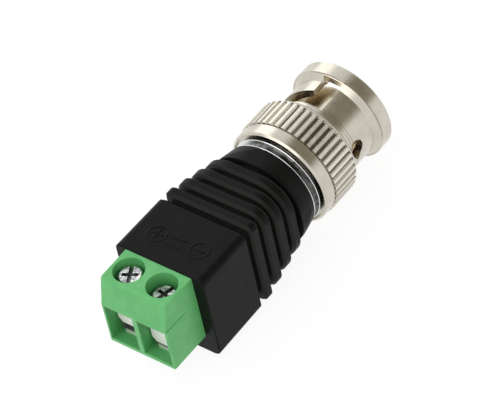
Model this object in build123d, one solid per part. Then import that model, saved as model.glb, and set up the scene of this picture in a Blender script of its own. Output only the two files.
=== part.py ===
from build123d import *
import math
import os

# Coaxial bayonet plug with a two-way screw terminal block, in millimetres.
# X runs along the plug towards its open mouth, Z is up and the terminal screws face up.
# The origin is on the plug's axis, at the tip of its contact sleeve, where a mating socket stops.

# How far a cutter runs past what it cuts, and a length that is hidden in another piece runs on
overrun = 1.0

# Screw terminal block
way_pitch = 5.0
block_height = 10.3
block_top_drop = 0.18
block_reach = 5.95
block_slope_back = 1.05
block_slope_height = 3.82
block_edge_round = 0.45
block_edge_chamfer = 0.12
side_step_depth = 0.14
side_step_length = 5.2
cell_floor_wall = 0.45
cell_side_wall = 0.35
cell_lintel = 0.3
cell_depth = 1.55
well_radius = 2.0
well_setback = 2.5
spigot_width = 8.4
spigot_height = 4.6
spigot_length = 1.6
spigot_drop = 0.17
spigot_chamfer = 0.3

# Contact frame of one way, with its solder tail
frame_width = 4.1
frame_height = 5.0
frame_depth = 3.0
frame_wall = 0.5
frame_head_wall = 1.2
frame_lip = 0.35
frame_lip_chamfer = 0.315
frame_edge_round = 0.25
contact_tail_width = 1.2
contact_tail_thickness = 0.6
contact_tail_length = 3.55
chamber_gap = 0.05

# Pressure plate that the screw pushes down on the wire
plate_thickness = 0.6
plate_side_gap = 0.1
plate_back_gap = 0.35
flap_thickness = 0.3
flap_height = 2.6
flap_width = 3.8
flap_gap = 0.07
flap_corner = 0.6

# Clamping screw
screw_radius = 1.2
screw_thread_gap = 0.05
screw_length = 5.1
screw_head_radius = 1.55
screw_head_height = 1.6
screw_head_chamfer = 0.2
screw_tip_gap = 0.02
screw_tip_chamfer = 0.3
driver_slot_width = 0.55
driver_slot_depth = 0.8
driver_cross_width = 0.5
driver_cross_length = 2.1
plate_floor_gap = 0.05
plus_opened = 1.2
minus_opened = 0.4
plus_head_turn = 28.0
minus_head_turn = -12.0

# Black moulding
moulding_side_margin = 0.3
moulding_top_margin = 0.2
moulding_length = 8.9
moulding_draft = 0.12
moulding_corner = 0.95
moulding_face_chamfer = 0.15
moulding_end_chamfer = 0.4
rib_count = 4
rib_width = 1.55
rib_chamfer = 0.32
rib_first_corner = 0.9
rib_last_flat = 0.13
groove_width = 0.65
groove_depth = 0.85
cone_length = 2.6
cone_start_flat = 0.78
cone_growth = 0.5
cone_overhang = 0.05

# Plug body, turned in one piece with its slotted contact sleeve
sleeve_radius = 4.03
sleeve_wall = 0.58
sleeve_reach = 9.3
sleeve_slots = 4
sleeve_slot_width = 0.35
sleeve_slot_length = 5.4
sleeve_tip_chamfer = 0.2
flange_step = 0.9
flange_thickness = 1.1
barrel_radius = 4.7
barrel_length = 5.0
tail_step = 0.8
tail_reach = 6.4
tail_wall = 1.0
seat_gap = 0.02

# Plated neck ring pressed on the barrel against the moulding
neck_ring_wall = 1.7
neck_ring_length = 1.4
neck_ring_chamfer = 0.2
neck_ring_waist = 0.3
neck_ring_waist_slope = 0.3

# Insulators and centre pin
insulator_length = 8.4
insulator_recess = 5.5
insulator_nose_length = 1.4
insulator_nose_step = 1.0
rear_insulator_length = 4.3
pin_radius = 0.675
pin_setback = 0.2
pin_nose_chamfer = 0.3
pin_body_radius = 1.0
pin_nose_cover = 1.0
solder_cup_radius = 1.15
solder_cup_bore = 0.6
solder_cup_depth = 2.6
solder_cup_reach = 0.5

# Gasket, washers and retaining ring
gasket_seat_step = 0.27
gasket_gap = 0.05
gasket_width = 0.5
gasket_thickness = 0.8
wave_washer_height = 0.9
wave_washer_thickness = 0.2
wave_count = 3
wave_steps = 12
washer_bore_gap = 0.15
washer_side_gap = 0.15
thrust_washer_thickness = 0.4
ring_thickness = 0.5
ring_bore_gap = 0.3
ring_seat_depth = 0.35
ring_split = 1.2
ring_groove_gap = 0.05
stack_gap = 0.05

# Bayonet coupling nut
nut_gap = 0.15
nut_band_length = 1.9
nut_band_step = 0.2
nut_flange_gap = 0.2
nut_wall = 1.5
nut_bore_gap = 0.05
nut_counterbore_wall = 0.35
nut_counterbore_depth = 0.4
nut_lip_hold = 0.2
nut_lip_thickness = 0.2
nut_edge_chamfer = 0.25
knurl_bars = 46
knurl_length = 4.1
knurl_groove_mouth = 0.6
knurl_groove_floor = 0.24
knurl_groove_depth = 0.4
knurl_end_gap = 0.05
shoulder_length = 0.95
shoulder_step = 0.25
shoulder_crown_step = 0.2
shoulder_crown_length = 0.6
shoulder_groove = 0.14
skirt_wall = 1.05
skirt_length = 4.46
rim_cove_length = 0.75
rim_cove_step = 0.2
rim_length = 2.0
rim_height = 0.85
rim_edge_chamfer = 0.22
mouth_flare = 1.05
mouth_depth = 1.1
key_angle = 95.0
key_width = 2.4
key_depth = 0.7
window_width = 2.7
window_margin = 0.1
slot_width = 2.15
slot_sweep = 100.0
slot_entry_run = 10.0
slot_rise = 1.75
slot_return_run = 20.0
slot_steps = 10
slot_entry_setback = 5.4
detent_radius = 1.12
detent_return = 1.1

# Inner leads and ground tag
lead_radius = 0.55
lead_core_radius = 0.4
lead_bend_start = 0.3
lead_bend_end = 0.7
lead_strip = 1.6
tag_overlap = 2.0
tag_length = 3.4
tag_width = 1.6
tag_thickness = 0.4

# Radii round the barrel, worked out from its surface outwards
tail_radius = barrel_radius - tail_step
tail_bore = tail_radius - tail_wall
flange_radius = barrel_radius + flange_step
neck_ring_radius = barrel_radius + neck_ring_wall
cone_end_radius = neck_ring_radius + cone_overhang
cone_start_radius = cone_end_radius + cone_growth
moulding_width = 2 * (neck_ring_radius + moulding_side_margin)
moulding_height = 2 * (neck_ring_radius + moulding_top_margin)
slim_half_width = moulding_width / 2 - moulding_draft
slim_half_height = moulding_height / 2 - moulding_draft
rib_last_corner = slim_half_height - groove_depth - rib_last_flat
rib_corner_growth = (rib_last_corner - rib_first_corner) / rib_count
cone_start_corner = slim_half_height - cone_start_flat
nut_cavity_radius = flange_radius + nut_flange_gap
washer_inner_radius = barrel_radius + washer_bore_gap
washer_outer_radius = nut_cavity_radius - washer_side_gap
ring_inner_radius = barrel_radius + ring_bore_gap
ring_outer_radius = nut_cavity_radius + ring_seat_depth
nut_lip_radius = ring_outer_radius - nut_lip_hold
nut_radius = nut_cavity_radius + nut_wall
nut_band_radius = nut_radius - nut_band_step
nut_counterbore_radius = nut_band_radius - nut_counterbore_wall

# Radii round the contact sleeve, worked out from its surface outwards
sleeve_bore = sleeve_radius - sleeve_wall
insulator_nose_radius = sleeve_bore - insulator_nose_step
gasket_seat_radius = sleeve_radius + gasket_seat_step
gasket_radius = gasket_seat_radius + gasket_gap + gasket_width
nut_bore = gasket_radius + nut_bore_gap
key_radius = nut_bore + key_depth
mouth_radius = nut_bore + mouth_flare
skirt_radius = nut_bore + skirt_wall
shoulder_radius = skirt_radius + shoulder_step
shoulder_crown_radius = nut_band_radius - shoulder_crown_step
rim_radius = skirt_radius + rim_height
rim_cove_radius = rim_radius - rim_cove_step

# Places along the plug, worked out from the sleeve's tip backwards
sleeve_tip = 0.0
flange_front = sleeve_tip - sleeve_reach
flange_back = flange_front - flange_thickness
barrel_back = flange_back - barrel_length
tail_back = barrel_back - tail_reach
wave_back = flange_back - stack_gap - wave_washer_height
washer_back = wave_back - stack_gap - thrust_washer_thickness
ring_back = washer_back - stack_gap - ring_thickness
lip_back = ring_back - ring_groove_gap - nut_lip_thickness
nut_back = lip_back - nut_counterbore_depth
neck_ring_end = nut_back - nut_gap
moulding_end = neck_ring_end - neck_ring_length
cone_start = moulding_end - cone_length
groove_pitch = groove_width + rib_width
grip_end = cone_start - groove_width - rib_count * groove_pitch
moulding_face = grip_end - moulding_length
insulator_front = sleeve_tip - insulator_recess
insulator_back = insulator_front - insulator_length
rear_insulator_back = insulator_back - rear_insulator_length
cup_back = rear_insulator_back - solder_cup_reach
tag_front = tail_back + tag_overlap
tag_back = tag_front - tag_length
tag_middle = -tail_radius - seat_gap - tag_thickness / 2
knurl_back = nut_back + nut_band_length
knurl_front = knurl_back + knurl_length
shoulder_back = knurl_front + shoulder_groove
skirt_back = shoulder_back + shoulder_length
cove_back = skirt_back + skirt_length
rim_back = cove_back + rim_cove_length
nut_front = rim_back + rim_length
slot_entry = nut_front - slot_entry_setback

# Places in the terminal block
block_width = 2 * way_pitch
block_top = moulding_height / 2 - block_top_drop
block_bottom = block_top - block_height
block_front = moulding_face - block_reach
kink_height = block_top - block_slope_height
plus_side = way_pitch / 2
minus_side = -way_pitch / 2
well_place = moulding_face - well_setback
cell_floor = block_bottom + cell_floor_wall
cell_top = kink_height - cell_lintel
chamber_front = block_front + cell_depth
frame_front = chamber_front + flap_thickness + 2 * flap_gap
frame_back = frame_front + frame_depth
frame_top = cell_floor + frame_height
chamber_ceiling = frame_top + chamber_gap
frame_floor = cell_floor + frame_wall
contact_tail_height = frame_top - frame_head_wall / 2
contact_tail_end = frame_back + contact_tail_length
spigot_centre_height = contact_tail_height - spigot_drop


FROM_BELOW = (Align.CENTER, Align.CENTER, Align.MIN)
FROM_ABOVE = (Align.CENTER, Align.CENTER, Align.MAX)


def tube(x_back, x_front, outer, inner=0.0):
    """A round bar or tube along the plug's axis."""
    body = extrude(Plane.YZ.offset(x_back) * Circle(outer), amount=x_front - x_back)
    if inner > 0:
        body -= extrude(Plane.YZ.offset(x_back) * Circle(inner), amount=x_front - x_back)
    return body


def block(x, y, z):
    """A box between two limits on each axis."""
    centre = [(limits[0] + limits[1]) / 2 for limits in (x, y, z)]
    size = [limits[1] - limits[0] for limits in (x, y, z)]
    return Pos(*centre) * Box(*size)


def turned(edges):
    """A solid turned about the plug's axis, from edges given along the axis and out from it."""
    return revolve(make_face(edges), axis=Axis.X)


def make_spigot():
    """Key on the block's back, which the moulding closes round."""
    spigot = block(
        (moulding_face, moulding_face + spigot_length),
        (-spigot_width / 2, spigot_width / 2),
        (spigot_centre_height - spigot_height / 2, spigot_centre_height + spigot_height / 2),
    )
    return chamfer(spigot.faces().sort_by(Axis.X)[-1].edges(), spigot_chamfer)


def make_side_step():
    """Cut that sets one upper side back at the front and fades out along the block."""
    side = block_width / 2
    plan = Polyline(
        (block_front - overrun, side - side_step_depth),
        (block_front, side - side_step_depth),
        (block_front + side_step_length, side),
        (block_front + side_step_length, side + overrun),
        (block_front - overrun, side + overrun),
        close=True,
    )
    return extrude(Plane.XY.offset(kink_height) * make_face(plan), amount=block_height)


def make_terminal_housing():
    """Green block: sloped front, two wire cells, two screw wells and a key for the moulding."""
    sloped_front = block_front + block_slope_back
    side_view = Polyline(
        (moulding_face, 0, block_bottom),
        (block_front, 0, block_bottom),
        (block_front, 0, kink_height),
        (sloped_front, 0, block_top),
        (moulding_face, 0, block_top),
        close=True,
    )
    body = extrude(make_face(side_view), amount=block_width / 2, both=True, dir=(0, 1, 0))
    crease = body.edges().filter_by(Axis.Y).sort_by_distance((sloped_front, 0, block_top))[0]
    body = fillet(crease, block_edge_round)
    sides = body.faces().sort_by(Axis.Y)
    back = body.faces().sort_by(Axis.X)[-1]
    outline = sides[0].edges() + sides[-1].edges() - back.edges()
    body = chamfer(outline, block_edge_chamfer)
    side_step = make_side_step()
    body -= [side_step, mirror(side_step, about=Plane.XZ)]
    body += make_spigot()
    cell_half = way_pitch / 2 - cell_side_wall
    chamber_half = frame_width / 2 + chamber_gap
    tail_half = contact_tail_width / 2 + chamber_gap
    tail_rise = contact_tail_thickness / 2 + chamber_gap
    for side in (plus_side, minus_side):
        body -= block(
            (block_front - overrun, chamber_front),
            (side - cell_half, side + cell_half),
            (cell_floor, cell_top),
        )
        body -= block(
            (chamber_front - overrun, frame_back + chamber_gap),
            (side - chamber_half, side + chamber_half),
            (cell_floor, min(chamber_ceiling, cell_top)),
        )
        body -= block(
            (chamber_front, frame_back + chamber_gap),
            (side - chamber_half, side + chamber_half),
            (cell_floor, chamber_ceiling),
        )
        body -= block(
            (frame_back, moulding_face + spigot_length + overrun),
            (side - tail_half, side + tail_half),
            (contact_tail_height - tail_rise, contact_tail_height + tail_rise),
        )
        well = Cylinder(well_radius, block_top - chamber_ceiling + overrun, align=FROM_BELOW)
        body -= Pos(well_place, side, chamber_ceiling - chamber_gap) * well
    return body


def make_contact_frame(side):
    """Rectangular loop with a thick tapped head wall, a front lip and a solder tail."""
    half = frame_width / 2
    body = block((frame_front, frame_back), (side - half, side + half), (cell_floor, frame_top))
    body = fillet(body.edges().filter_by(Axis.X), frame_edge_round)
    window_half = half - frame_wall
    body -= block(
        (frame_front - frame_wall, frame_back + frame_wall),
        (side - window_half, side + window_half),
        (frame_floor, frame_top - frame_head_wall),
    )
    lip = block(
        (frame_front - frame_lip, frame_front + frame_lip),
        (side - half + frame_wall, side + half - frame_wall),
        (cell_floor, frame_floor),
    )
    lip_corners = lip.edges().filter_by(Axis.Z).group_by(Axis.X)[0]
    body += chamfer(lip_corners, frame_lip_chamfer)
    body += block(
        (frame_back - frame_lip, contact_tail_end),
        (side - contact_tail_width / 2, side + contact_tail_width / 2),
        (contact_tail_height - contact_tail_thickness / 2, contact_tail_height + contact_tail_thickness / 2),
    )
    tap = Cylinder(screw_radius + screw_thread_gap, frame_height)
    body -= Pos(well_place, side, frame_top) * tap
    return body


def plate_bottom(opened):
    """Height of the pressure plate's underside when it is opened by this much."""
    return frame_floor + plate_floor_gap + opened


def make_pressure_plate(side, opened):
    """L-shaped plate: a leg under the screw and a flap that fills the cell's upper half."""
    low = plate_bottom(opened)
    leg_half = frame_width / 2 - frame_wall - plate_side_gap
    flap_front = chamber_front + flap_gap
    leg = block(
        (flap_front, frame_back - plate_back_gap),
        (side - leg_half, side + leg_half),
        (low, low + plate_thickness),
    )
    flap = block(
        (flap_front, flap_front + flap_thickness),
        (side - flap_width / 2, side + flap_width / 2),
        (low, low + flap_height),
    )
    lower_corners = flap.edges().filter_by(Axis.X).group_by(Axis.Z)[0]
    flap = chamfer(lower_corners, flap_corner)
    return flap + leg


def make_clamp_screw(side, opened, head_turn):
    """Cheese-head screw with a combined slot and cross in its head."""
    tip = plate_bottom(opened) + plate_thickness + screw_tip_gap
    neck = tip + screw_length
    top = neck + screw_head_height
    shank = Cylinder(screw_radius, screw_length, align=FROM_BELOW)
    shank = chamfer(shank.edges().group_by(Axis.Z)[0], screw_tip_chamfer)
    head = Cylinder(screw_head_radius, screw_head_height, align=FROM_BELOW)
    head = chamfer(head.edges().group_by(Axis.Z)[-1], screw_head_chamfer)
    slot = Box(2 * screw_head_radius + overrun, driver_slot_width, driver_slot_depth, align=FROM_ABOVE)
    cross = Box(driver_cross_width, driver_cross_length, driver_slot_depth, align=FROM_ABOVE)
    recess = Pos(0, 0, top - neck) * Rot(0, 0, head_turn) * (slot + cross)
    screw = Pos(0, 0, tip - neck) * shank + head - recess
    return Pos(well_place, side, neck) * screw


def rounded_bar(x_back, x_front, half_width, half_height, corner):
    """A straight length of the moulding with rounded corners."""
    face = RectangleRounded(2 * half_width, 2 * half_height, corner)
    return extrude(Plane.YZ.offset(x_back) * face, amount=x_front - x_back)


def make_moulding_shape():
    """Outside of the moulding: square grip end, rounded ribs and a round cone."""
    draft_angle = math.degrees(math.atan(moulding_draft / moulding_length))
    near_end = RectangleRounded(moulding_width, moulding_height, moulding_corner)
    shape = extrude(Plane.YZ.offset(moulding_face) * near_end, amount=moulding_length, taper=draft_angle)
    ends = shape.faces().sort_by(Axis.X)
    shape = chamfer(ends[0].edges(), moulding_face_chamfer)
    shape = chamfer(shape.faces().sort_by(Axis.X)[-1].edges(), moulding_end_chamfer)
    for rib in range(rib_count + 1):
        start = grip_end + rib * groove_pitch
        corner = rib_first_corner + rib * rib_corner_growth
        shape += rounded_bar(
            start - groove_width / 2,
            start + 3 * groove_width / 2,
            slim_half_width - groove_depth,
            slim_half_height - groove_depth,
            corner,
        )
        if rib < rib_count:
            rib_back = start + groove_width
            bar = rounded_bar(rib_back, rib_back + rib_width, slim_half_width, slim_half_height, corner)
            ends = bar.faces().sort_by(Axis.X)
            shape += chamfer(ends[0].edges() + ends[-1].edges(), rib_chamfer)
    cone_bar = rounded_bar(cone_start, moulding_end, slim_half_width, slim_half_height, cone_start_corner)
    cone = Polyline(
        (cone_start, 0),
        (cone_start, cone_start_radius),
        (moulding_end, cone_end_radius),
        (moulding_end, 0),
        close=True,
    )
    return shape + (cone_bar & turned(cone))


def make_lead(points, strip):
    """Insulated lead along a folded path, with a bared core past its far end."""
    section = Plane(origin=points[0], z_dir=(1, 0, 0)) * Circle(lead_radius)
    lead = sweep(section, path=Polyline(*points), transition=Transition.RIGHT)
    if strip > 0:
        end = Vector(*points[-1])
        lead += Pos(end.X, end.Y, end.Z) * tube(-seat_gap, strip, lead_core_radius)
    return lead


def make_signal_lead():
    """Lead from the plus tail to the centre pin's solder cup."""
    end = cup_back - lead_strip / 2
    bend_back = contact_tail_end + lead_bend_start * (end - contact_tail_end)
    bend_front = contact_tail_end + lead_bend_end * (end - contact_tail_end)
    points = [
        (contact_tail_end, plus_side, contact_tail_height),
        (bend_back, plus_side, contact_tail_height),
        (bend_front, 0, 0),
        (end, 0, 0),
    ]
    return make_lead(points, lead_strip + lead_strip / 2)


def make_ground_lead():
    """Lead from the minus tail to the ground tag."""
    bend_back = contact_tail_end + lead_bend_start * (tag_back - contact_tail_end)
    bend_front = contact_tail_end + lead_bend_end * (tag_back - contact_tail_end)
    points = [
        (contact_tail_end, minus_side, contact_tail_height),
        (bend_back, minus_side, contact_tail_height),
        (bend_front, tag_middle, 0),
        (tag_back, tag_middle, 0),
    ]
    return make_lead(points, 0)


def make_ground_tag():
    """Tinned strip soldered along the side of the plug's tail."""
    across = (tag_middle - tag_thickness / 2, tag_middle + tag_thickness / 2)
    return block((tag_back, tag_front), across, (-tag_width / 2, tag_width / 2))


def make_plug_body():
    """Turned body: tail, barrel, flange and slotted contact sleeve."""
    body = tube(tail_back, barrel_back + seat_gap, tail_radius)
    body += tube(barrel_back, flange_back + seat_gap, barrel_radius)
    body += tube(flange_back, flange_front, flange_radius)
    body += tube(flange_front - seat_gap, flange_front + gasket_thickness, gasket_seat_radius)
    sleeve = tube(flange_front - seat_gap, sleeve_tip, sleeve_radius)
    body += chamfer(sleeve.edges().group_by(Axis.X)[-1], sleeve_tip_chamfer)
    body -= tube(tail_back - overrun, insulator_back + seat_gap, tail_bore)
    body -= tube(insulator_back, sleeve_tip + overrun, sleeve_bore)
    for slot in range(sleeve_slots):
        turn = (slot + 0.5) * 360 / sleeve_slots
        cut = block(
            (sleeve_tip - sleeve_slot_length, sleeve_tip + overrun),
            (sleeve_bore - overrun, sleeve_radius + overrun),
            (-sleeve_slot_width / 2, sleeve_slot_width / 2),
        )
        body -= Rot(turn, 0, 0) * cut
    return body


def make_neck_ring():
    """Plated ring on the barrel, chamfered at both ends and slightly waisted."""
    inner = barrel_radius + seat_gap
    low = neck_ring_radius - neck_ring_chamfer
    waist = neck_ring_radius - neck_ring_waist
    band_back = moulding_end + neck_ring_chamfer
    band_front = neck_ring_end - neck_ring_chamfer
    outline = Polyline(
        (moulding_end, inner),
        (moulding_end, low),
        (band_back, neck_ring_radius),
        (band_back + neck_ring_waist_slope, waist),
        (band_front - neck_ring_waist_slope, waist),
        (band_front, neck_ring_radius),
        (neck_ring_end, low),
        (neck_ring_end, inner),
        close=True,
    )
    return turned(outline)


def make_insulator():
    """White insulator in the sleeve, with a nose round the centre pin."""
    body = tube(insulator_back, insulator_front - insulator_nose_length, sleeve_bore - seat_gap)
    body += tube(insulator_back, insulator_front, insulator_nose_radius)
    body -= tube(insulator_back - overrun, insulator_front - pin_nose_cover, pin_body_radius + seat_gap)
    body -= tube(insulator_back - overrun, insulator_front + overrun, pin_radius + seat_gap)
    return body


def make_rear_insulator():
    """Bush that closes the tail's bore round the solder cup."""
    return tube(
        rear_insulator_back,
        insulator_back - seat_gap,
        tail_bore - seat_gap,
        solder_cup_radius + seat_gap,
    )


def make_centre_pin():
    """Round-nosed pin with a thicker body and a solder cup at its back."""
    tip = sleeve_tip - pin_setback
    pin = tube(insulator_back, tip, pin_radius)
    pin = chamfer(pin.edges().group_by(Axis.X)[-1], pin_nose_chamfer)
    pin += tube(insulator_back - overrun, insulator_front - pin_nose_cover - seat_gap, pin_body_radius)
    pin += tube(cup_back, insulator_back - seat_gap, solder_cup_radius)
    pin -= tube(cup_back - overrun, cup_back + solder_cup_depth, solder_cup_bore)
    return pin


def make_gasket():
    """Soft ring in front of the flange, round the contact sleeve."""
    inner = gasket_seat_radius + gasket_gap
    return tube(flange_front, flange_front + gasket_thickness, gasket_radius, inner)


def make_wave_washer():
    """Sprung ring whose waves fill the room between the thrust washer and the flange."""
    middle = wave_back + wave_washer_height / 2
    swing = (wave_washer_height - wave_washer_thickness) / 2
    radius = (washer_inner_radius + washer_outer_radius) / 2
    strip = Rectangle(wave_washer_thickness, washer_outer_radius - washer_inner_radius)
    sections = []
    for step in range(wave_steps + 1):
        angle = 180 * step / wave_steps
        along = middle + swing * math.cos(math.radians(wave_count * angle))
        sections.append(Rot(angle, 0, 0) * Pos(along, radius, 0) * strip)
    half = loft(sections, ruled=True)
    return half + mirror(half, about=Plane.XY)


def make_thrust_washer():
    """Flat washer between the retaining ring and the wave washer."""
    return tube(washer_back, washer_back + thrust_washer_thickness, washer_outer_radius, washer_inner_radius)


def make_retaining_ring():
    """Split ring that sits in the nut's inner groove."""
    ring = tube(ring_back, ring_back + ring_thickness, ring_outer_radius, ring_inner_radius)
    ring -= block(
        (ring_back - overrun, ring_back + ring_thickness + overrun),
        (0, ring_outer_radius + overrun),
        (-ring_split / 2, ring_split / 2),
    )
    return ring


def slot_centre(turned_by):
    """How far back the bayonet slot's middle lies after this much turn."""
    ramp_end = slot_sweep - slot_return_run
    if turned_by <= slot_entry_run:
        return slot_entry
    if turned_by <= ramp_end:
        return slot_entry - slot_rise * (turned_by - slot_entry_run) / (ramp_end - slot_entry_run)
    back = slot_entry - slot_rise
    return back + detent_return * (turned_by - ramp_end) / slot_return_run


def make_knurl_groove():
    """Groove with leaning sides that runs past both ends of the knurl, pointing along Y."""
    spread = knurl_groove_mouth - knurl_groove_floor
    groove = Trapezoid(
        knurl_groove_mouth + spread,
        2 * knurl_groove_depth,
        math.degrees(math.atan(2 * knurl_groove_depth / spread)),
    )
    start = knurl_back - shoulder_groove / 2
    section = Plane(origin=(start, nut_radius, 0), x_dir=(0, 0, 1), z_dir=(1, 0, 0)) * groove
    return extrude(section, amount=knurl_length + shoulder_groove)


def radial_cut(angle, along, across, low, high):
    """A box cut through the nut's wall, pointing out at this angle."""
    cut = block(along, (low, high), (-across / 2, across / 2))
    return Rot(angle, 0, 0) * cut


def radial_hole(angle, x, radius, low, high):
    """A round hole through the nut's wall, pointing out at this angle."""
    hole = Rot(90, 0, 0) * Cylinder(radius, high - low)
    return Rot(angle, 0, 0) * Pos(x, (low + high) / 2, 0) * hole


def make_bayonet_cuts(start_angle):
    """One key, window, sloping slot and detent hole, as a list of cutters."""
    inside = nut_bore - overrun
    outside = nut_radius
    window_back = slot_entry - slot_width / 2 - window_margin
    opening = Rectangle(slot_width, outside - inside)
    sections = []
    for step in range(slot_steps + 1):
        turned_by = slot_sweep * step / slot_steps
        place = Pos(slot_centre(turned_by), (inside + outside) / 2, 0)
        sections.append(Rot(start_angle - turned_by, 0, 0) * place * opening)
    return [
        radial_cut(start_angle, (window_back, nut_front + overrun), key_width, inside, key_radius),
        radial_cut(start_angle, (window_back, rim_back - window_margin), window_width, inside, outside),
        loft(sections, ruled=True),
        radial_hole(start_angle - slot_sweep, slot_centre(slot_sweep), detent_radius, inside, outside),
    ]


def make_nut_blank():
    """The nut before it is knurled and slotted, turned inside and out."""
    lip_front = lip_back + nut_lip_thickness
    groove_front = ring_back + ring_thickness + ring_groove_gap
    groove_radius = ring_outer_radius + ring_groove_gap
    cavity_front = flange_front + stack_gap
    step_radius = nut_radius - knurl_groove_depth - knurl_end_gap
    profile = Polyline(
        (nut_back, nut_counterbore_radius),
        (lip_back, nut_counterbore_radius),
        (lip_back, nut_lip_radius),
        (lip_front, nut_lip_radius),
        (lip_front, groove_radius),
        (groove_front, groove_radius),
        (groove_front, nut_cavity_radius),
        (cavity_front, nut_cavity_radius),
        (cavity_front, nut_bore),
        (nut_front - mouth_depth, nut_bore),
        (nut_front, mouth_radius),
        (nut_front, rim_radius - rim_edge_chamfer),
        (nut_front - rim_edge_chamfer, rim_radius),
        (rim_back, rim_radius),
        (rim_back, rim_cove_radius),
        (cove_back, skirt_radius),
        (skirt_back, skirt_radius),
        (skirt_back, shoulder_radius),
        (skirt_back - shoulder_crown_length, shoulder_crown_radius),
        (shoulder_back, nut_band_radius),
        (shoulder_back, step_radius),
        (knurl_front, step_radius),
        (knurl_front, nut_radius),
        (knurl_back, nut_radius),
        (knurl_back, step_radius),
        (knurl_back - shoulder_groove, step_radius),
        (knurl_back - shoulder_groove, nut_band_radius),
        (nut_back + nut_edge_chamfer, nut_band_radius),
        (nut_back, nut_band_radius - nut_edge_chamfer),
        close=True,
    )
    return turned(profile)


def make_coupling_nut():
    """Knurled grip and bayonet skirt, turned in one piece and then slotted."""
    nut = make_nut_blank()
    groove = make_knurl_groove()
    nut -= [Rot(360 * (bar + 0.5) / knurl_bars, 0, 0) * groove for bar in range(knurl_bars)]
    for start_angle in (key_angle, key_angle + 180):
        nut -= make_bayonet_cuts(start_angle)
    return nut


def make_moulding(embedded):
    """The moulding, closed tightly round everything that it holds."""
    moulding = make_moulding_shape()
    moulding -= tube(rear_insulator_back, moulding_end + overrun, tail_radius)
    moulding -= tube(barrel_back, moulding_end + overrun, barrel_radius)
    moulding -= make_spigot()
    for piece in embedded:
        moulding -= piece
    return moulding


parts = {
    "terminal_housing": make_terminal_housing(),
    "contact_frame_plus": make_contact_frame(plus_side),
    "contact_frame_minus": make_contact_frame(minus_side),
    "pressure_plate_plus": make_pressure_plate(plus_side, plus_opened),
    "pressure_plate_minus": make_pressure_plate(minus_side, minus_opened),
    "clamp_screw_plus": make_clamp_screw(plus_side, plus_opened, plus_head_turn),
    "clamp_screw_minus": make_clamp_screw(minus_side, minus_opened, minus_head_turn),
    "signal_lead": make_signal_lead(),
    "ground_lead": make_ground_lead(),
    "ground_tag": make_ground_tag(),
    "plug_body": make_plug_body(),
    "neck_ring": make_neck_ring(),
    "insulator": make_insulator(),
    "rear_insulator": make_rear_insulator(),
    "centre_pin": make_centre_pin(),
    "gasket": make_gasket(),
    "wave_washer": make_wave_washer(),
    "thrust_washer": make_thrust_washer(),
    "retaining_ring": make_retaining_ring(),
    "coupling_nut": make_coupling_nut(),
}
embedded_names = (
    "contact_frame_plus",
    "contact_frame_minus",
    "signal_lead",
    "ground_lead",
    "ground_tag",
    "plug_body",
    "rear_insulator",
    "centre_pin",
)
parts["moulding"] = make_moulding([parts[name] for name in embedded_names])

os.makedirs("parts", exist_ok=True)
for name, shape in parts.items():
    export_step(shape, f"parts/{name}.step")
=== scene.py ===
import math
import bpy
from mathutils import Matrix, Vector


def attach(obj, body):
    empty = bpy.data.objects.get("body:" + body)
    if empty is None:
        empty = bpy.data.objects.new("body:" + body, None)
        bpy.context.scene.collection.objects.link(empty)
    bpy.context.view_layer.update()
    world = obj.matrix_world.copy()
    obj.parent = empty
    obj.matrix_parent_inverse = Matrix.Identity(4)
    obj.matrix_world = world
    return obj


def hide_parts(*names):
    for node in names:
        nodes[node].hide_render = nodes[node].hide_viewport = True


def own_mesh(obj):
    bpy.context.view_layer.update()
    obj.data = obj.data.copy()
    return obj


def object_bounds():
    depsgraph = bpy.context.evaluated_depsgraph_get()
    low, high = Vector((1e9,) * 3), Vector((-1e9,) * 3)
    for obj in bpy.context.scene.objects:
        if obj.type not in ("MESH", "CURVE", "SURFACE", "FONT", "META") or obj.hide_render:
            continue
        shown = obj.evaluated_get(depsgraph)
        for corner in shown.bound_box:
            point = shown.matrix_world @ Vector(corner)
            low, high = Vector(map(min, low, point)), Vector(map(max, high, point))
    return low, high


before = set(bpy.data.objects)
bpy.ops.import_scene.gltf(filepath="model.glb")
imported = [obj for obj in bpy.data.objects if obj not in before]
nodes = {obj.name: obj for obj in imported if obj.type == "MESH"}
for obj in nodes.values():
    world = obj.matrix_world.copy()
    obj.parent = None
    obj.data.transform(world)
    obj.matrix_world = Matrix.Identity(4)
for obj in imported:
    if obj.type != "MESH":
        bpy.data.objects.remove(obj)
cad_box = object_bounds()
bpy.ops.object.select_all(action="DESELECT")


# The green terminal block is one moulding in half-gloss plastic, with two open
# wire cells in its front and two screw wells in its top. It is keyed into the
# black moulding before that sets. Its colour has a faint mottle, and inside the
# cells it is darker green as painted shade.
NOISE_SPAN = (0.3, 0.7)  # most of a noise lies between these
MIX_FIRST, MIX_SECOND, MIX_RESULT = 6, 7, 2  # the sockets that blend a colour

BLOCK_GREEN = (0.112, 0.45, 0.145, 1)
BLOCK_GREEN_LIGHT = (0.14, 0.5, 0.172, 1)
CELL_SHADE_GREEN = (0.085, 0.36, 0.11, 1)
BEHIND_BLOCK_FRONT = (-41.4, -41.2)  # X in millimetres, as all places in materials are
INSIDE_BLOCK_SIDES = (4.7, 4.9)  # Y, to both sides
CELL_FLOOR = (-3.8, -3.5)  # Z
CELL_CEILING = (2.35, 2.55)


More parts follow.
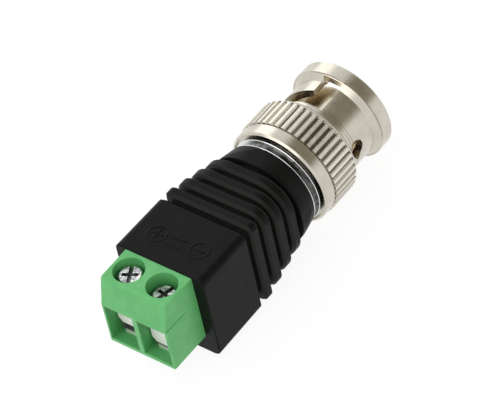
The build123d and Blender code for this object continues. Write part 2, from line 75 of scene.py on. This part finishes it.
class Value:
    """A number, colour or vector in a material or in the room's light. Sums on it add nodes."""

    def __init__(self, tree, socket=None):
        self.tree = tree
        self.socket = socket

    def node(self, kind, settings=None, inputs=None, output=0):
        """Adds any other node: its kind, its settings, then the values or links of its sockets."""
        made = self.tree.nodes.new("ShaderNode" + kind)
        for name, value in (settings or {}).items():
            if name == "stops":
                stops = made.color_ramp.elements
                while len(stops) < len(value):
                    stops.new(1.0)
                for stop, (place, colour) in zip(stops, value):
                    stop.position = place
                    stop.color = colour
            else:
                setattr(made, name, value)
        for name, value in (inputs or {}).items():
            if isinstance(value, Value):
                self.tree.links.new(value.socket, made.inputs[name])
            else:
                made.inputs[name].default_value = value
        return Value(self.tree, made.outputs[output]) if len(made.outputs) else None

    def math(self, operation, *others):
        """A sum that has this value first."""
        return self.node("Math", {"operation": operation}, dict(enumerate((self, *others))))

    def __add__(self, other):
        return self.math("ADD", other)

    def __radd__(self, other):
        return self.math("ADD", other)

    def __sub__(self, other):
        return self.math("SUBTRACT", other)

    def __rsub__(self, other):
        return self.math("MULTIPLY_ADD", -1.0, other)

    def __mul__(self, other):
        return self.math("MULTIPLY", other)

    def __rmul__(self, other):
        return self.math("MULTIPLY", other)

    def part(self, axis):
        """One coordinate of a place."""
        return self.node("SeparateXYZ", inputs={"Vector": self}, output=axis)

    def vector(self, operation, other):
        """A vector sum of this place and another vector."""
        return self.node("VectorMath", {"operation": operation}, {0: self, 1: other})

    def length(self):
        """How long this vector is."""
        return self.node("VectorMath", {"operation": "LENGTH"}, {0: self}, "Value")

    def noise(self, scale, detail=2.0, stretch=(1.0, 1.0, 1.0)):
        """Cloudy variation from 0 to 1 over a place given in millimetres."""
        place = self.vector("MULTIPLY", stretch)
        return self.node("TexNoise", inputs={"Vector": place, "Scale": scale, "Detail": detail})

    def between(self, low, high, at_low=0.0, at_high=1.0):
        """This value carried smoothly from one span to another."""
        spans = {
            "Value": self,
            "From Min": low,
            "From Max": high,
            "To Min": at_low,
            "To Max": at_high,
        }
        return self.node("MapRange", {"interpolation_type": "SMOOTHSTEP"}, spans)

    def below(self, low, high):
        """1 where this value is under the span, 0 where it is over it."""
        return self.between(low, high, 1.0, 0.0)

    def wander(self, lowest, highest):
        """A number that this noise carries between two others."""
        return self.between(*NOISE_SPAN, lowest, highest)

    def blend(self, first, second):
        """A colour between two others, with this value as the share of the second."""
        colours = {0: self, MIX_FIRST: first, MIX_SECOND: second}
        return self.node("Mix", {"data_type": "RGBA"}, colours, MIX_RESULT)

    def clouded(self, first, second):
        """A colour that this noise carries between two others."""
        return self.between(*NOISE_SPAN).blend(first, second)


def start_material(name):
    """An empty material, and the place on the object in millimetres."""
    material = bpy.data.materials.new(name)
    material.use_nodes = True
    material.node_tree.nodes.clear()
    place = Value(material.node_tree).node("TexCoord", output="Object")
    millimetres = place.node("VectorMath", {"operation": "SCALE"}, {0: place, "Scale": 1000.0})
    return material, millimetres


def finish_material(material, surface, relief, depth, strength):
    """Gives the material its shader, with a relief that is this deep in metres."""
    bump = {"Height": relief, "Distance": depth, "Strength": strength}
    surface["Normal"] = relief.node("Bump", inputs=bump)
    shader = relief.node("BsdfPrincipled", inputs=surface)
    shader.node("OutputMaterial", inputs={"Surface": shader})
    return material


def dress(names, material):
    """Puts a material on CAD nodes."""
    for name in names:
        for slot in nodes[name].material_slots:
            slot.material = material


def green_plastic():
    """Mottled green, darkened as painted shade where the wire cells reach in."""
    material, place = start_material("green_plastic")
    grain = place.noise(scale=9.0)
    outside = place.noise(scale=0.55, detail=3.0).clouded(BLOCK_GREEN, BLOCK_GREEN_LIGHT)
    # Where the wire cells reach in, the green is darkened as painted shade.
    along = place.part("X").between(*BEHIND_BLOCK_FRONT)
    across = place.part("Y").math("ABSOLUTE").below(*INSIDE_BLOCK_SIDES)
    upward = place.part("Z").below(*CELL_CEILING) * place.part("Z").between(*CELL_FLOOR)
    surface = {
        "Base Color": (along * across * upward).blend(outside, CELL_SHADE_GREEN),
        "Roughness": grain.wander(0.34, 0.44),
        "Specular IOR Level": 0.35,
    }
    return finish_material(material, surface, grain, depth=0.00001, strength=0.25)


dress(["terminal_housing"], green_plastic())


# Each way has a contact frame bent from zinc plated steel strip, and a pressure
# plate that rides inside it. The frame is bright on its front lip, and behind it the
# zinc is darkened with painted shade, with faint scratches front to back. The
# plate has a whiter coat of tin.
ZINC = (0.82, 0.83, 0.8, 1)
ZINC_LIGHT = (0.92, 0.92, 0.89, 1)
FRAME_PAINTED_SHADE = (0.05, 0.052, 0.045, 1)
FRAME_SHADE_SHARE = 0.85
BEHIND_LIP = (-39.74, -39.6)  # X
SCRATCH_SPAN = (0.25, 0.75)
TIN = (0.93, 0.93, 0.88, 1)
TIN_LIGHT = (0.98, 0.98, 0.95, 1)


def stamped_zinc():
    """Scratched zinc plate, darkened with painted shade behind the lip."""
    material, place = start_material("stamped_zinc")
    scratches = place.noise(scale=6.0, detail=3.0, stretch=(0.15, 1.0, 0.15))
    plated = place.noise(scale=0.8).clouded(ZINC, ZINC_LIGHT)
    # Painted shade: behind the lip the zinc is darkened nearly to black.
    shaded_behind_lip = place.part("X").between(*BEHIND_LIP) * FRAME_SHADE_SHARE
    surface = {
        "Base Color": shaded_behind_lip.blend(plated, FRAME_PAINTED_SHADE),
        "Metallic": 0.5,
        "Roughness": scratches.between(*SCRATCH_SPAN, 0.22, 0.4),
    }
    return finish_material(material, surface, scratches, depth=0.00001, strength=0.3)


def tinned_plate():
    """A dipped coat of tin, nearly white."""
    material, place = start_material("tinned_plate")
    cloud = place.noise(scale=0.9)
    surface = {
        "Base Color": cloud.clouded(TIN, TIN_LIGHT),
        "Metallic": 0.15,
        "Roughness": cloud.wander(0.28, 0.4),
    }
    return finish_material(material, surface, place.noise(scale=8.0), depth=0.000006, strength=0.2)


tin = tinned_plate()
dress(["contact_frame_plus", "contact_frame_minus"], stamped_zinc())
dress(["pressure_plate_plus", "pressure_plate_minus"], tin)


# The clamping screws are cold-formed steel with a combined slot and cross, zinc
# plated after threading. Their head tops keep faint turning rings round the axis,
# and the plate is mottled there; down in the recess it is darkened with painted shade.
SCREW_ALONG = -38.0  # X
SCREW_ACROSS = 2.5  # Y, to both sides
PLUS_HEAD_TOP = 5.64  # Z
MINUS_HEAD_TOP = 4.84
RECESS_TOP = 0.15  # depth under the head's top at which the dark starts
RECESS_FLOOR = 0.45
RECESS_SHADE_SHARE = 0.75
RECESS_PAINTED_SHADE = (0.08, 0.085, 0.08, 1)
SCREW_DARK = (0.3, 0.31, 0.32, 1)
SCREW_LIGHT = (0.8, 0.8, 0.79, 1)
MOTTLE_SPAN = (0.42, 0.58)
TURNING_PHASE = 34.0  # radians to the millimetre
TURNING_WAVER = 3.0
MOTTLE_RELIEF = 4.0


def screw_zinc(name, across, head_top):
    """Mottled zinc plate with turning rings round one screw's axis."""
    material, place = start_material(name)
    offset = place.vector("SUBTRACT", (SCREW_ALONG, across, 0))
    reach = offset.vector("MULTIPLY", (1, 1, 0)).length()
    rings = (reach * TURNING_PHASE + place.noise(scale=1.2) * TURNING_WAVER).math("SINE")
    cloud = place.noise(scale=2.6, detail=3.0)
    plated = cloud.between(*MOTTLE_SPAN).blend(SCREW_DARK, SCREW_LIGHT)
    # Painted shade: the recess is darkened below the head's top.
    recess = place.part("Z").below(head_top - RECESS_FLOOR, head_top - RECESS_TOP)
    surface = {
        "Base Color": (recess * RECESS_SHADE_SHARE).blend(plated, RECESS_PAINTED_SHADE),
        "Metallic": 1.0,
        "Roughness": cloud.wander(0.2, 0.38),
    }
    relief = rings + cloud * MOTTLE_RELIEF
    return finish_material(material, surface, relief, depth=0.000012, strength=0.5)


dress(["clamp_screw_plus"], screw_zinc("screw_zinc_plus", SCREW_ACROSS, PLUS_HEAD_TOP))
dress(["clamp_screw_minus"], screw_zinc("screw_zinc_minus", -SCREW_ACROSS, MINUS_HEAD_TOP))


# The body is black plastic moulded over the plug's tail and the block's key in a
# two-part mould. Its skin has a fine spark-eroded grain, the ribs' edges and groove walls
# are lightened with a painted highlight, and a faint parting line runs round it level
# with the plug's axis.
SKIN_BLACK = (0.0034, 0.004, 0.0033, 1)
SKIN_BLACK_LIGHT = (0.0052, 0.006, 0.005, 1)
RIB_PAINTED_HIGHLIGHT = (0.017, 0.018, 0.016, 1)
PARTING_LINE = (0.04, 0.1)  # Z, above and below
RIBS_START = (-26.65, -26.55)  # X
RIBS_END = (-17.2, -17.1)
FIRST_GROOVE = -26.275
HALF_RIB_PITCH = 1.1
HIGHLIGHT_START = (0.15, 0.3)  # distance from the middle of the nearest groove
HIGHLIGHT_END = (0.6, 0.8)
GRAIN_RELIEF = 0.3
SKIN_ROUGHNESS = 0.42


def black_plastic(name, roughness):
    """Black skin with the parting line and a painted highlight along the ribs."""
    material, place = start_material(name)
    grain = place.noise(scale=14.0)
    skin = place.noise(scale=0.5).clouded(SKIN_BLACK, SKIN_BLACK_LIGHT)
    parting = place.part("Z").math("ABSOLUTE").between(*PARTING_LINE)
    on_ribs = place.part("X").between(*RIBS_START) * place.part("X").below(*RIBS_END)
    from_groove = (place.part("X") - FIRST_GROOVE).math("PINGPONG", HALF_RIB_PITCH)
    # Painted highlight: the ribs' edges and groove walls are lightened.
    painted_highlight = from_groove.between(*HIGHLIGHT_START) * from_groove.below(*HIGHLIGHT_END) * on_ribs
    surface = {
        "Base Color": painted_highlight.blend(skin, RIB_PAINTED_HIGHLIGHT),
        "Roughness": grain.wander(roughness - 0.04, roughness + 0.06),
        "IOR": 1.48,
        "Specular IOR Level": 0.09,
    }
    relief = grain * GRAIN_RELIEF + parting
    return finish_material(material, surface, relief, depth=0.00005, strength=0.5)


dress(["moulding"], black_plastic("black_plastic", SKIN_ROUGHNESS))


# Moulded signs on the top of the grip: a ringed plus and a ringed minus beside
# their terminals, and between them the two bars of the direct current sign. They
# stand a hair proud of the skin and are polished in the mould.
SIGN_HEIGHT = 0.00656  # the middle of their thickness, in metres
SIGN_THICKNESS = 0.00012
SIGN_EDGE = SIGN_THICKNESS * 0.35
SIGN_WIDTH = 0.00026
SIGN_ROUGHNESS = 0.3
SIGN_RING_RADIUS = 0.00124
SIGN_BAR_REACH = 0.0007
PLUS_CENTRE = (-0.03174, 0.00298)
MINUS_CENTRE = (-0.0315, -0.0032)


def sign_bar(name, start, end):
    """A raised bar between two places on the grip's top, with softened edges."""
    run = Vector(end) - Vector(start)
    middle = (Vector(start) + Vector(end)) / 2
    bpy.ops.mesh.primitive_cube_add(size=1, location=(0, 0, 0))
    bar = bpy.context.object
    bar.name = name
    bpy.ops.object.mode_set(mode="EDIT")
    bpy.ops.transform.resize(value=(run.length + SIGN_WIDTH, SIGN_WIDTH, SIGN_THICKNESS))
    bpy.ops.mesh.bevel(offset=SIGN_EDGE, segments=2)
    bpy.ops.object.mode_set(mode="OBJECT")
    turn = Matrix.Rotation(math.atan2(run.y, run.x), 4, "Z")
    bar.data.transform(Matrix.Translation((middle.x, middle.y, SIGN_HEIGHT)) @ turn)
    return bar


def sign_ring(name, centre):
    """A raised ring on the grip's top."""
    bpy.ops.mesh.primitive_torus_add(
        major_segments=48,
        minor_segments=10,
        major_radius=SIGN_RING_RADIUS,
        minor_radius=SIGN_WIDTH / 2,
    )
    ring = bpy.context.object
    ring.name = name
    bpy.ops.object.mode_set(mode="EDIT")
    bpy.ops.transform.resize(value=(1, 1, SIGN_THICKNESS / SIGN_WIDTH))
    bpy.ops.object.mode_set(mode="OBJECT")
    ring.data.transform(Matrix.Translation((*centre, SIGN_HEIGHT)))
    return ring


signs = [sign_ring("plus_ring", PLUS_CENTRE), sign_ring("minus_ring", MINUS_CENTRE)]
for name, (x, y), (dx, dy) in (
    ("plus_bar_across", PLUS_CENTRE, (0.0, SIGN_BAR_REACH)),
    ("plus_bar_along", PLUS_CENTRE, (SIGN_BAR_REACH, 0.0)),
    ("minus_bar", MINUS_CENTRE, (0.0, SIGN_BAR_REACH)),
):
    signs.append(sign_bar(name, (x - dx, y - dy), (x + dx, y + dy)))
for name, start, end in (
    ("current_bar_front", (-0.03132, 0.00118), (-0.03115, -0.00082)),
    ("current_bar_back", (-0.0325, 0.00102), (-0.03252, -0.00081)),
):
    signs.append(sign_bar(name, start, end))
polished = black_plastic("black_plastic_polished", SIGN_ROUGHNESS)
for sign in signs:
    sign.data.materials.append(polished)
    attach(sign, "main")


# Inside the moulding two short leads run from the contact tails, one to the
# centre pin and one to a tinned tag on the plug's tail. Soft insulation has a
# matt skin, and the tag is stamped brass dipped in tin.
LEAD_RED = (0.42, 0.02, 0.015, 1)
LEAD_RED_LIGHT = (0.55, 0.035, 0.025, 1)
LEAD_BLACK = (0.015, 0.015, 0.015, 1)
LEAD_BLACK_LIGHT = (0.03, 0.03, 0.03, 1)


def soft_insulation(name, dark, light):
    """The matt skin of a lead."""
    material, place = start_material(name)
    cloud = place.noise(scale=1.5)
    surface = {
        "Base Color": cloud.clouded(dark, light),
        "Roughness": cloud.wander(0.5, 0.62),
    }
    return finish_material(material, surface, place.noise(scale=12.0), depth=0.00001, strength=0.2)


dress(["signal_lead"], soft_insulation("red_insulation", LEAD_RED, LEAD_RED_LIGHT))
dress(["ground_lead"], soft_insulation("black_insulation", LEAD_BLACK, LEAD_BLACK_LIGHT))
dress(["ground_tag"], tin)


# The plug body is turned from brass bar in one piece and nickel plated: tail,
# barrel, flange and the contact sleeve, which is slotted afterwards. The plate is a
# warm grey and shows fine turning marks round the axis.
SLEEVE_NICKEL = (0.78, 0.72, 0.6, 1)
SLEEVE_NICKEL_LIGHT = (0.86, 0.8, 0.68, 1)


def turned_nickel(place, smoothest, roughest):
    """The relief of fine marks round the axis, and the roughness that goes with it."""
    marks = place.noise(scale=16.0, detail=3.0, stretch=(1.0, 0.03, 0.03))
    patches = place.noise(scale=1.1)
    return marks, (marks * 0.5 + patches * 0.5).wander(smoothest, roughest)


def sleeve_nickel():
    """Bright nickel of the plug body."""
    material, place = start_material("sleeve_nickel")
    marks, roughness = turned_nickel(place, 0.2, 0.32)
    cloud = place.noise(scale=0.45, detail=3.0)
    surface = {
        "Base Color": cloud.clouded(SLEEVE_NICKEL, SLEEVE_NICKEL_LIGHT),
        "Metallic": 1.0,
        "Roughness": roughness,
    }
    return finish_material(material, surface, marks, depth=0.000008, strength=0.25)


dress(["plug_body"], sleeve_nickel())


# The neck ring is pressed on the barrel against the moulding and plated with dark
# chrome, with a painted highlight along its two edges and a painted reflection on one flank.
CHROME_DARK = (0.03, 0.034, 0.04, 1)
CHROME_BROWN = (0.12, 0.115, 0.105, 1)
CHROME_PAINTED_HIGHLIGHT = (0.78, 0.79, 0.79, 1)
CHROME_SPAN = (0.35, 0.65)
NECK_EDGES = (-14.42, -13.34)  # X
EDGE_HIGHLIGHT = (0.04, 0.11)  # distance from an edge
FLANK_REFLECTION = (1.8, 4.4)  # Y
FLANK_SHARE = 0.9


def dark_chrome():
    """Dark chrome with painted highlights on its edges and a painted reflection on one flank."""
    material, place = start_material("dark_chrome")
    cloud = place.noise(scale=1.3, detail=3.0)
    # Painted reflection on one flank and painted highlights along both edges.
    painted_highlight = place.part("Y").between(*FLANK_REFLECTION) * FLANK_SHARE
    for edge in NECK_EDGES:
        painted_highlight = painted_highlight + (place.part("X") - edge).math("ABSOLUTE").below(*EDGE_HIGHLIGHT)
    dark = cloud.between(*CHROME_SPAN).blend(CHROME_DARK, CHROME_BROWN)
    surface = {
        "Base Color": painted_highlight.math("MINIMUM", 1.0).blend(dark, CHROME_PAINTED_HIGHLIGHT),
        "Metallic": 1.0,
        "Roughness": cloud.wander(0.1, 0.22),
    }
    return finish_material(material, surface, cloud, depth=0.00002, strength=0.3)


dress(["neck_ring"], dark_chrome())


# Both insulators are machined from white fluoroplastic bar, one round the centre
# pin and one that closes the tail. The plastic is waxy and faintly clouded.
FLUOROPLASTIC = (0.74, 0.72, 0.67, 1)
FLUOROPLASTIC_LIGHT = (0.82, 0.81, 0.77, 1)


def white_insulator():
    """Waxy white plastic."""
    material, place = start_material("white_insulator")
    cloud = place.noise(scale=0.9, detail=3.0)
    surface = {
        "Base Color": cloud.clouded(FLUOROPLASTIC, FLUOROPLASTIC_LIGHT),
        "Roughness": cloud.wander(0.38, 0.5),
    }
    return finish_material(material, surface, place.noise(scale=18.0), depth=0.00001, strength=0.2)


dress(["insulator", "rear_insulator"], white_insulator())


# The centre pin is turned brass under a thin gold plate, with its solder cup at
# the back, and it is the brightest thing down in the sleeve.
GOLD = (0.72, 0.48, 0.17, 1)
GOLD_LIGHT = (0.83, 0.6, 0.25, 1)


def gold_plate():
    """Thin gold with fine turning marks round the pin."""
    material, place = start_material("gold_plate")
    cloud = place.noise(scale=1.3)
    marks = place.noise(scale=9.0, stretch=(1.0, 0.1, 0.1))
    surface = {
        "Base Color": cloud.clouded(GOLD, GOLD_LIGHT),
        "Metallic": 1.0,
        "Roughness": cloud.wander(0.16, 0.28),
    }
    return finish_material(material, surface, marks, depth=0.000006, strength=0.2)


dress(["centre_pin"], gold_plate())


# A soft red ring seals the socket in front of the flange. Behind the flange a
# wave washer, a flat washer and a split ring of plain spring steel hold the nut
# and push it back, and the wave washer goes flat as the nut is drawn forward.
SEAL_RED = (0.22, 0.02, 0.015, 1)
SEAL_RED_LIGHT = (0.32, 0.03, 0.022, 1)
STEEL = (0.42, 0.42, 0.42, 1)
STEEL_LIGHT = (0.55, 0.55, 0.54, 1)


def soft_ring():
    """Matt red rubber."""
    material, place = start_material("soft_ring")
    cloud = place.noise(scale=2.0)
    surface = {
        "Base Color": cloud.clouded(SEAL_RED, SEAL_RED_LIGHT),
        "Roughness": cloud.wander(0.5, 0.65),
    }
    return finish_material(material, surface, place.noise(scale=15.0), depth=0.00001, strength=0.3)


def spring_steel():
    """Plain grey steel."""
    material, place = start_material("spring_steel")
    cloud = place.noise(scale=1.2, detail=3.0)
    surface = {
        "Base Color": cloud.clouded(STEEL, STEEL_LIGHT),
        "Metallic": 1.0,
        "Roughness": cloud.wander(0.28, 0.45),
    }
    return finish_material(material, surface, place.noise(scale=10.0), depth=0.00001, strength=0.2)


dress(["gasket"], soft_ring())
dress(["wave_washer", "thrust_washer", "retaining_ring"], spring_steel())

bpy.ops.object.select_all(action="DESELECT")
nodes["wave_washer"].select_set(True)
bpy.context.view_layer.objects.active = nodes["wave_washer"]
bpy.ops.object.duplicate()
spring = bpy.context.object
spring.name = "wave_spring"
bpy.ops.object.mode_set(mode="EDIT")
bpy.ops.mesh.select_all(action="SELECT")
bpy.ops.mesh.remove_doubles(threshold=0.000001)
bpy.ops.object.mode_set(mode="OBJECT")
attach(spring, "main")
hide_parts("wave_washer")
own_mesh(spring)
bpy.ops.object.select_all(action="DESELECT")


# The coupling nut is turned, straight-knurled and milled with its two bayonet slots
# in one piece, then plated in satin nickel, which is lighter on the knurl's lands and
# brown inside, and the knurl's grooves are darkened with painted shade. Two hair-fine
# turning lines run round the skirt beside the grip.
NUT_NICKEL = (0.54, 0.51, 0.435, 1)
NUT_NICKEL_LIGHT = (0.61, 0.575, 0.5, 1)
LAND_NICKEL = (0.74, 0.715, 0.645, 1)
NUT_BROWN = (0.36, 0.28, 0.16, 1)
LINE_BROWN = (0.2, 0.17, 0.12, 1)
GROOVE_PAINTED_SHADE = (0.05, 0.045, 0.035, 1)
NUT_WALL = (5.0, 5.7)  # radii between which the brown turns grey
GROOVE_FLOOR = (6.88, 7.02)
LAND_FOOT = (6.98, 7.06)
GRIP_BACK = (-11.2, -11.1)  # X
GRIP_FRONT = (-7.0, -6.95)
TURNING_LINES = (-5.35, -4.95)
LINE_FADE = (0.03, 0.08)  # distance from a line
LAND_ROUGHNESS = 0.25
GROOVE_SHARE = 0.8
LINE_SHARE = 0.55


def nut_nickel():
    """Satin nickel with lighter lands, painted shade in the grooves, a brown inside and two
    turning lines.
    """
    material, place = start_material("nut_nickel")
    marks, roughness = turned_nickel(place, 0.18, 0.3)
    along = place.part("X")
    reach = place.vector("MULTIPLY", (0, 1, 1)).length()
    grip = along.below(*GRIP_FRONT) * along.between(*GRIP_BACK)
    lands = reach.between(*LAND_FOOT) * grip
    grooves = reach.below(*GROOVE_FLOOR) * grip
    lines = sum((along - line).math("ABSOLUTE").below(*LINE_FADE) for line in TURNING_LINES)
    plate = place.noise(scale=0.45, detail=3.0).clouded(NUT_NICKEL, NUT_NICKEL_LIGHT)
    colour = lands.blend(plate, LAND_NICKEL)
    colour = (lines * LINE_SHARE).blend(colour, LINE_BROWN)
    colour = reach.below(*NUT_WALL).blend(colour, NUT_BROWN)
    # Painted shade: the knurl's grooves are darkened.
    colour = (grooves * GROOVE_SHARE).blend(colour, GROOVE_PAINTED_SHADE)
    surface = {
        "Base Color": colour,
        "Metallic": 1.0,
        "Roughness": roughness + lands * LAND_ROUGHNESS,
    }
    return finish_material(material, surface, marks - lines, depth=0.000012, strength=0.4)


dress(["coupling_nut"], nut_nickel())


# The adapter lies on a plain white table in soft daylight: one broad lamp high in
# front, two smaller ones behind and beside, and a white room. One side of the room is
# dim and gives the metal its darker bands. The table keeps the adapter's shadow.
TABLE_WHITE = (0.82, 0.82, 0.82, 1)
TABLE_SIZE = 3.0
TABLE_GLOW = 1.07
TABLE_GLOW_SHARE = 0.85
WHITE = (1, 1, 1, 1)
ROOM_GREYS = (
    (0.0, (0.3, 0.3, 0.3, 1)),
    (0.5, (0.62, 0.62, 0.62, 1)),
    (0.8, (0.78, 0.78, 0.78, 1)),
    (1.0, (0.66, 0.66, 0.66, 1)),
)
DIM_SIDE = (0.45, -0.5, 0.74)
DIM_SPAN = (0.8, 0.93)
DIM_COLOUR = (0.3, 0.27, 0.205, 1)
ADAPTER_MIDDLE = (-0.02, 0, 0)


def background_ray(value):
    """1 for a ray from the eye, from metal or through glass, and 0 for scattered light."""
    kinds = ("Is Camera Ray", "Is Glossy Ray", "Is Transmission Ray")
    return sum(value.node("LightPath", output=kind) for kind in kinds).math("MINIMUM", 1.0)


def white_table():
    """Matt white that glows for the eye, so that it is plain white but for the shadow."""
    material, place = start_material("white_table")
    white = place.node("BsdfDiffuse", inputs={"Color": TABLE_WHITE})
    glow = place.node("Emission", inputs={"Color": WHITE, "Strength": TABLE_GLOW})
    share = background_ray(place) * TABLE_GLOW_SHARE
    shader = place.node("MixShader", inputs={0: share, 1: white, 2: glow})
    shader.node("OutputMaterial", inputs={"Surface": shader})
    return material


bpy.ops.mesh.primitive_plane_add(size=TABLE_SIZE, location=(0, 0, cad_box[0][2]))
table = bpy.context.object
table.name = "white_table"
table.data.materials.append(white_table())

world = bpy.data.worlds.new("pale_room")
bpy.context.scene.world = world
world.use_nodes = True
world.node_tree.nodes.clear()
direction = Value(world.node_tree).node("TexCoord", output="Generated")
upward = direction.part("Z") * 0.5 + 0.5
greys = direction.node("ValToRGB", {"stops": ROOM_GREYS}, {"Fac": upward})
room = background_ray(direction).blend(greys, WHITE)
dot_product = {"operation": "DOT_PRODUCT"}
to_dim_side = direction.node("VectorMath", dot_product, {0: direction, 1: DIM_SIDE}, "Value")
room = to_dim_side.between(*DIM_SPAN).blend(room, DIM_COLOUR)
sky = room.node("Background", inputs={"Color": room, "Strength": 1.0})
sky.node("OutputWorld", inputs={"Surface": sky})


def soft_lamp(name, place, size, watts):
    """A square lamp at a place, facing the adapter."""
    lamp = bpy.data.lights.new(name, "AREA")
    lamp.size = size
    lamp.energy = watts
    holder = bpy.data.objects.new(name, lamp)
    bpy.context.scene.collection.objects.link(holder)
    holder.location = place
    facing = Vector(place) - Vector(ADAPTER_MIDDLE)
    holder.rotation_euler = facing.to_track_quat("Z", "Y").to_euler()


soft_lamp("window_lamp", (-0.45, 0.1, 0.55), size=0.8, watts=1.9)
soft_lamp("back_lamp", (0.2, 0.6, 0.35), size=0.5, watts=0.8)
soft_lamp("side_lamp", (-0.15, -0.7, 0.25), size=0.6, watts=0.7)


# The camera stands in front of the terminals, above them and to the right, and is
# rolled a little, as in the photograph. It is far off with a long lens.
CAMERA_PLACE = (-0.2557, -0.2497, 0.3528)
AZIMUTH = math.radians(-43.52)
ELEVATION = math.radians(45.58)
ROLL = math.radians(-13.34)
SENSOR_WIDTH = 36
FOCAL_LENGTH = 4077  # in pixels of a picture this wide
PICTURE_WIDTH = 500

back = Vector((
    math.sin(AZIMUTH) * math.cos(ELEVATION),
    -math.cos(AZIMUTH) * math.cos(ELEVATION),
    math.sin(ELEVATION),
))
level = Vector((math.cos(AZIMUTH), math.sin(AZIMUTH), 0))
upright = back.cross(level)
right = math.cos(ROLL) * level + math.sin(ROLL) * upright
up = math.cos(ROLL) * upright - math.sin(ROLL) * level
turned = Matrix((right, up, back)).transposed().to_4x4()
lens = bpy.data.cameras.new("camera")
lens.sensor_width = SENSOR_WIDTH
lens.lens = SENSOR_WIDTH * FOCAL_LENGTH / PICTURE_WIDTH
lens.clip_start = 0.01
camera = bpy.data.objects.new("camera", lens)
bpy.context.scene.collection.objects.link(camera)
camera.matrix_world = Matrix.Translation(CAMERA_PLACE) @ turned
bpy.context.scene.camera = camera
bpy.context.scene.view_settings.view_transform = "Standard"
